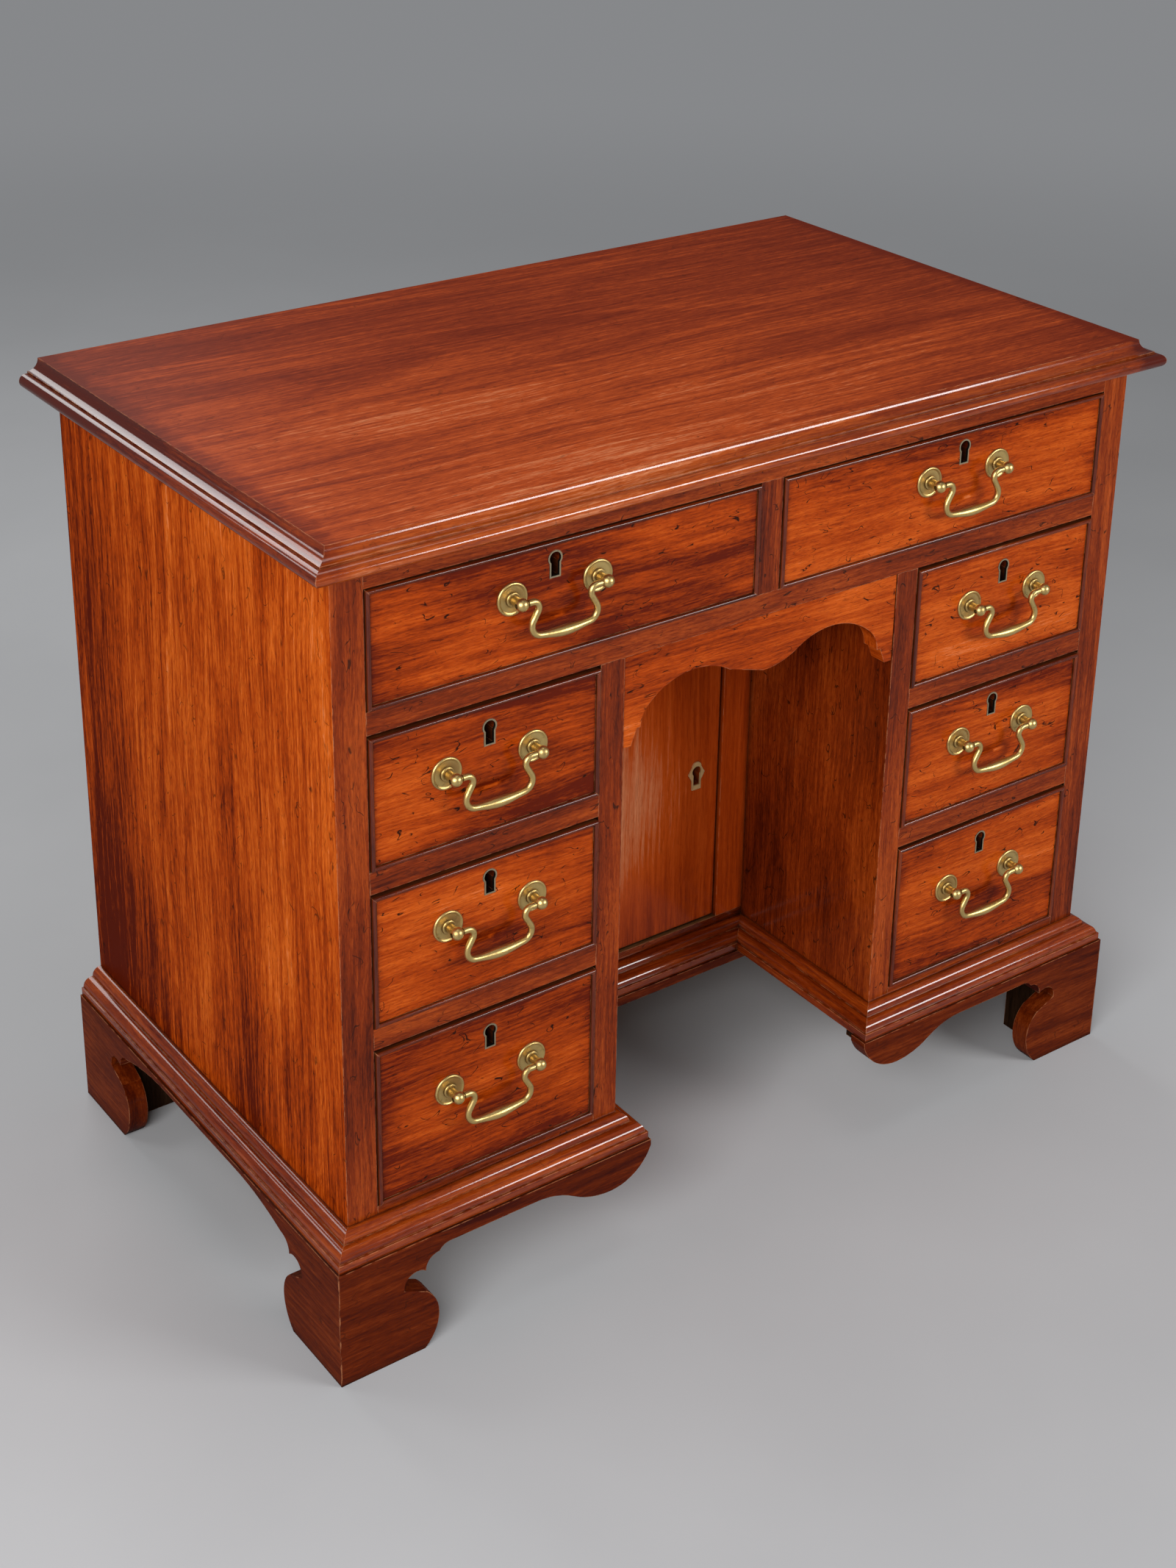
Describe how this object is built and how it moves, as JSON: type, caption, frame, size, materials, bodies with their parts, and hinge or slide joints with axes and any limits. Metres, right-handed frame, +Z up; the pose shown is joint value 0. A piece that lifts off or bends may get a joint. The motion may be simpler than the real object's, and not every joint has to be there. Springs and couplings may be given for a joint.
{
  "type": "kneehole desk",
  "caption": "Mahogany kneehole desk: moulded top, brass-handled drawers in a wide row and in pedestals beside a kneehole, recessed cupboard, shaped apron and scrolled bracket feet.",
  "frame": {"origin": "on the floor, under the middle of the overall box", "axes": "+X to the right along the front, +Y from the front to the back, +Z up"},
  "size_m": [0.926, 0.54, 0.78],
  "materials": {
    "mahogany": "satin polish",
    "oak": "dry and unpolished",
    "brass": "aged polish"
  },
  "bodies": {
    "carcass": {"apron": "mahogany", "back_boards": "oak", "base_moulding": "mahogany", "centre_divider": "mahogany", "cupboard_floor": "oak", "cupboard_frame": "mahogany", "drawer_rails": "mahogany", "drawer_stops": "oak", "dust_boards": "oak", "front_brackets": "mahogany", "glue_blocks": "oak", "hinge_frame_leaves": "brass", "hinge_pins": "brass", "kneehole_ceiling": "oak", "left_end": "mahogany", "left_kneehole_side": "mahogany", "middle_rail": "mahogany", "pedestal_floors": "oak", "plinth_strip": "mahogany", "rear_brackets": "oak", "right_end": "mahogany", "right_kneehole_side": "mahogany", "side_brackets": "mahogany", "top_board": "mahogany", "top_rails": "mahogany"},
    "drawer_top_left": {"drawer_top_left_front": "mahogany", "drawer_top_left_box": "oak", "drawer_top_left_brass": "brass"},
    "bail_top_left": {"drawer_top_left_bail": "brass"},
    "drawer_top_right": {"drawer_top_right_front": "mahogany", "drawer_top_right_box": "oak", "drawer_top_right_brass": "brass"},
    "bail_top_right": {"drawer_top_right_bail": "brass"},
    "drawer_left_upper": {"drawer_left_upper_front": "mahogany", "drawer_left_upper_box": "oak", "drawer_left_upper_brass": "brass"},
    "bail_left_upper": {"drawer_left_upper_bail": "brass"},
    "drawer_left_middle": {"drawer_left_middle_front": "mahogany", "drawer_left_middle_box": "oak", "drawer_left_middle_brass": "brass"},
    "bail_left_middle": {"drawer_left_middle_bail": "brass"},
    "drawer_left_lower": {"drawer_left_lower_front": "mahogany", "drawer_left_lower_box": "oak", "drawer_left_lower_brass": "brass"},
    "bail_left_lower": {"drawer_left_lower_bail": "brass"},
    "drawer_right_upper": {"drawer_right_upper_front": "mahogany", "drawer_right_upper_box": "oak", "drawer_right_upper_brass": "brass"},
    "bail_right_upper": {"drawer_right_upper_bail": "brass"},
    "drawer_right_middle": {"drawer_right_middle_front": "mahogany", "drawer_right_middle_box": "oak", "drawer_right_middle_brass": "brass"},
    "bail_right_middle": {"drawer_right_middle_bail": "brass"},
    "drawer_right_lower": {"drawer_right_lower_front": "mahogany", "drawer_right_lower_box": "oak", "drawer_right_lower_brass": "brass"},
    "bail_right_lower": {"drawer_right_lower_bail": "brass"},
    "door": {"cupboard_door": "mahogany", "door_brass": "brass", "hinge_door_leaves": "brass"}
  },
  "joints": [
    {"name": "drawer_top_left_slide", "type": "slide", "parent": "carcass", "child": "drawer_top_left", "axis": [0, -1, 0], "range_m": [0, 0.35]},
    {"name": "bail_top_left_swing", "type": "hinge", "parent": "drawer_top_left", "child": "bail_top_left", "pos_m": [-0.228, -0.2595, 0.69], "axis": [-1, 0, 0], "range_deg": [-15, 190]},
    {"name": "drawer_top_right_slide", "type": "slide", "parent": "carcass", "child": "drawer_top_right", "axis": [0, -1, 0], "range_m": [0, 0.35]},
    {"name": "bail_top_right_swing", "type": "hinge", "parent": "drawer_top_right", "child": "bail_top_right", "pos_m": [0.228, -0.2595, 0.69], "axis": [-1, 0, 0], "range_deg": [-15, 190]},
    {"name": "drawer_left_upper_slide", "type": "slide", "parent": "carcass", "child": "drawer_left_upper", "axis": [0, -1, 0], "range_m": [0, 0.35]},
    {"name": "bail_left_upper_swing", "type": "hinge", "parent": "drawer_left_upper", "child": "bail_left_upper", "pos_m": [-0.292, -0.2595, 0.551], "axis": [-1, 0, 0], "range_deg": [-15, 190]},
    {"name": "drawer_left_middle_slide", "type": "slide", "parent": "carcass", "child": "drawer_left_middle", "axis": [0, -1, 0], "range_m": [0, 0.35]},
    {"name": "bail_left_middle_swing", "type": "hinge", "parent": "drawer_left_middle", "child": "bail_left_middle", "pos_m": [-0.292, -0.2595, 0.4065], "axis": [-1, 0, 0], "range_deg": [-15, 190]},
    {"name": "drawer_left_lower_slide", "type": "slide", "parent": "carcass", "child": "drawer_left_lower", "axis": [0, -1, 0], "range_m": [0, 0.35]},
    {"name": "bail_left_lower_swing", "type": "hinge", "parent": "drawer_left_lower", "child": "bail_left_lower", "pos_m": [-0.292, -0.2595, 0.2425], "axis": [-1, 0, 0], "range_deg": [-15, 190]},
    {"name": "drawer_right_upper_slide", "type": "slide", "parent": "carcass", "child": "drawer_right_upper", "axis": [0, -1, 0], "range_m": [0, 0.35]},
    {"name": "bail_right_upper_swing", "type": "hinge", "parent": "drawer_right_upper", "child": "bail_right_upper", "pos_m": [0.292, -0.2595, 0.551], "axis": [-1, 0, 0], "range_deg": [-15, 190]},
    {"name": "drawer_right_middle_slide", "type": "slide", "parent": "carcass", "child": "drawer_right_middle", "axis": [0, -1, 0], "range_m": [0, 0.35]},
    {"name": "bail_right_middle_swing", "type": "hinge", "parent": "drawer_right_middle", "child": "bail_right_middle", "pos_m": [0.292, -0.2595, 0.4065], "axis": [-1, 0, 0], "range_deg": [-15, 190]},
    {"name": "drawer_right_lower_slide", "type": "slide", "parent": "carcass", "child": "drawer_right_lower", "axis": [0, -1, 0], "range_m": [0, 0.35]},
    {"name": "bail_right_lower_swing", "type": "hinge", "parent": "drawer_right_lower", "child": "bail_right_lower", "pos_m": [0.292, -0.2595, 0.2425], "axis": [-1, 0, 0], "range_deg": [-15, 190]},
    {"name": "door_swing", "type": "hinge", "parent": "carcass", "child": "door", "pos_m": [-0.11975, -0.0486, 0.348], "axis": [0, 0, -1], "range_deg": [0, 95]}
  ]
}
